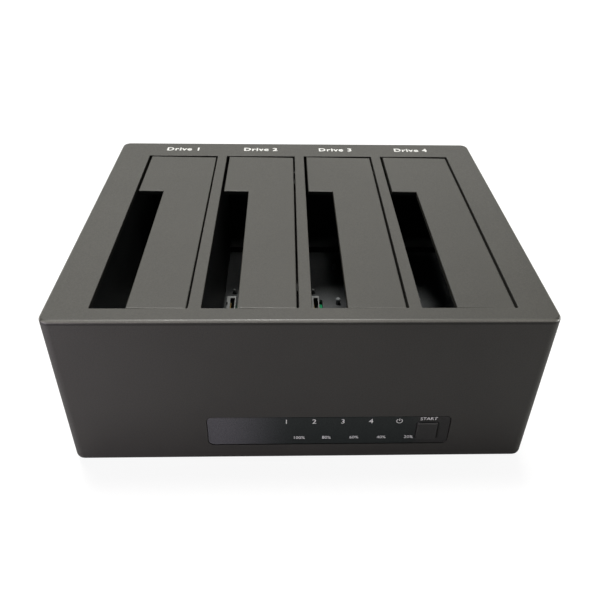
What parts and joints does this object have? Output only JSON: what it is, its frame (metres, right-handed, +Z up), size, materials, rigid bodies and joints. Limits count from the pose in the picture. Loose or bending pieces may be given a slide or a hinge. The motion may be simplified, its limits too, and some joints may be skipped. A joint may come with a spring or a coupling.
{
  "type": "drive duplicator",
  "caption": "Desktop drive duplicator: low rectangular dark-grey case with a row of long drive slots in the top, each behind a sprung L-shaped flap, a smoked control strip and a start button.",
  "frame": {"origin": "on the supporting surface, under the middle of the case", "axes": "+X to the right seen from the front, +Y from the front to the back, +Z up"},
  "size_m": [0.1488, 0.1246, 0.0602],
  "materials": {
    "case_plastic": "satin moulded ABS with a very fine grain, warm dark grey",
    "flap_plastic": "satin moulded ABS with a very fine grain, warm dark grey",
    "well_plastic": "matt moulded ABS, near black",
    "window_plastic": "smoked polycarbonate strip, smooth",
    "button_plastic": "satin moulded ABS, dark grey",
    "foot_rubber": "moulded black rubber",
    "socket_plastic": "moulded grey thermoplastic",
    "header_plastic": "black glass-filled nylon",
    "contact_plating": "gold-plated contacts",
    "circuit_board": "green solder mask over glass epoxy",
    "chip_package": "moulded epoxy",
    "capacitor_can": "bare aluminium can",
    "ferrite": "pressed ferrite",
    "screw_steel": "zinc-plated steel",
    "pin_steel": "ground steel wire",
    "spring_steel": "spring steel wire",
    "tinned_steel": "tin-plated steel",
    "lamp_resin": "clear resin over a white lamp base",
    "clear_plastic": "clear polycarbonate",
    "rocker_plastic": "polished black nylon",
    "blue_plastic": "blue thermoplastic",
    "white_print": "white pad-printed ink"
  },
  "bodies": {
    "case": {"top_shell": "case_plastic", "base_plate": "case_plastic", "rubber_feet": "foot_rubber", "base_screws": "screw_steel", "bay_frame": "well_plastic", "frame_screws": "screw_steel", "flap_pin_1": "pin_steel", "drive_socket_1": "socket_plastic", "socket_contacts_1": "contact_plating", "flap_pin_2": "pin_steel", "drive_socket_2": "socket_plastic", "socket_contacts_2": "contact_plating", "flap_pin_3": "pin_steel", "drive_socket_3": "socket_plastic", "socket_contacts_3": "contact_plating", "flap_pin_4": "pin_steel", "drive_socket_4": "socket_plastic", "socket_contacts_4": "contact_plating", "drive_board": "circuit_board", "board_pegs": "socket_plastic", "main_board": "circuit_board", "link_socket": "header_plastic", "link_header": "header_plastic", "link_pins": "contact_plating", "copy_controller": "chip_package", "bridge_chip": "chip_package", "memory_chip": "chip_package", "crystal": "tinned_steel", "capacitors": "capacitor_can", "power_coils": "ferrite", "main_board_screws": "screw_steel", "drive_board_screws": "screw_steel", "control_window": "window_plastic", "tact_switch": "header_plastic", "indicator_board": "circuit_board", "indicator_screws": "screw_steel", "indicator_lamps": "lamp_resin", "light_guide": "clear_plastic", "indicator_header": "header_plastic", "indicator_header_pins": "contact_plating", "power_inlet": "header_plastic", "power_inlet_pin": "tinned_steel", "power_switch_body": "header_plastic", "switch_terminals": "contact_plating", "data_socket": "tinned_steel", "data_socket_core": "blue_plastic"},
    "flap_1_body": {"flap_1": "flap_plastic", "flap_spring_1": "spring_steel"},
    "flap_2_body": {"flap_2": "flap_plastic", "flap_spring_2": "spring_steel"},
    "flap_3_body": {"flap_3": "flap_plastic", "flap_spring_3": "spring_steel"},
    "flap_4_body": {"flap_4": "flap_plastic", "flap_spring_4": "spring_steel"},
    "start_button_body": {"start_button": "button_plastic", "switch_plunger": "header_plastic"},
    "power_rocker_body": {"power_rocker": "rocker_plastic"}
  },
  "joints": [
    {"name": "flap_1_hinge", "type": "hinge", "parent": "case", "child": "flap_1_body", "pos_m": [-0.03195, -0.0039, 0.0569], "axis": [0, -1, 0], "range_deg": [0, 88.5], "stiffness_Nm_per_rad": 0.0015, "springref_deg": -57.3, "deforming": ["flap_spring_1"]},
    {"name": "flap_2_hinge", "type": "hinge", "parent": "case", "child": "flap_2_body", "pos_m": [0.00005, -0.0039, 0.0569], "axis": [0, -1, 0], "range_deg": [0, 88.5], "stiffness_Nm_per_rad": 0.0015, "springref_deg": -57.3, "deforming": ["flap_spring_2"]},
    {"name": "flap_3_hinge", "type": "hinge", "parent": "case", "child": "flap_3_body", "pos_m": [0.03205, -0.0039, 0.0569], "axis": [0, -1, 0], "range_deg": [0, 88.5], "stiffness_Nm_per_rad": 0.0015, "springref_deg": -57.3, "deforming": ["flap_spring_3"]},
    {"name": "flap_4_hinge", "type": "hinge", "parent": "case", "child": "flap_4_body", "pos_m": [0.06405, -0.0039, 0.0569], "axis": [0, -1, 0], "range_deg": [0, 88.5], "stiffness_Nm_per_rad": 0.0015, "springref_deg": -57.3, "deforming": ["flap_spring_4"]},
    {"name": "start_button_press", "type": "slide", "parent": "case", "child": "start_button_body", "axis": [0, 1, 0], "range_m": [0, 0.0006], "stiffness_N_per_m": 800, "springref_m": -0.0004},
    {"name": "power_rocker_tilt", "type": "hinge", "parent": "case", "child": "power_rocker_body", "pos_m": [0.037, 0.0587, 0.0115], "axis": [0, 0, -1], "range_deg": [0, 16]}
  ]
}
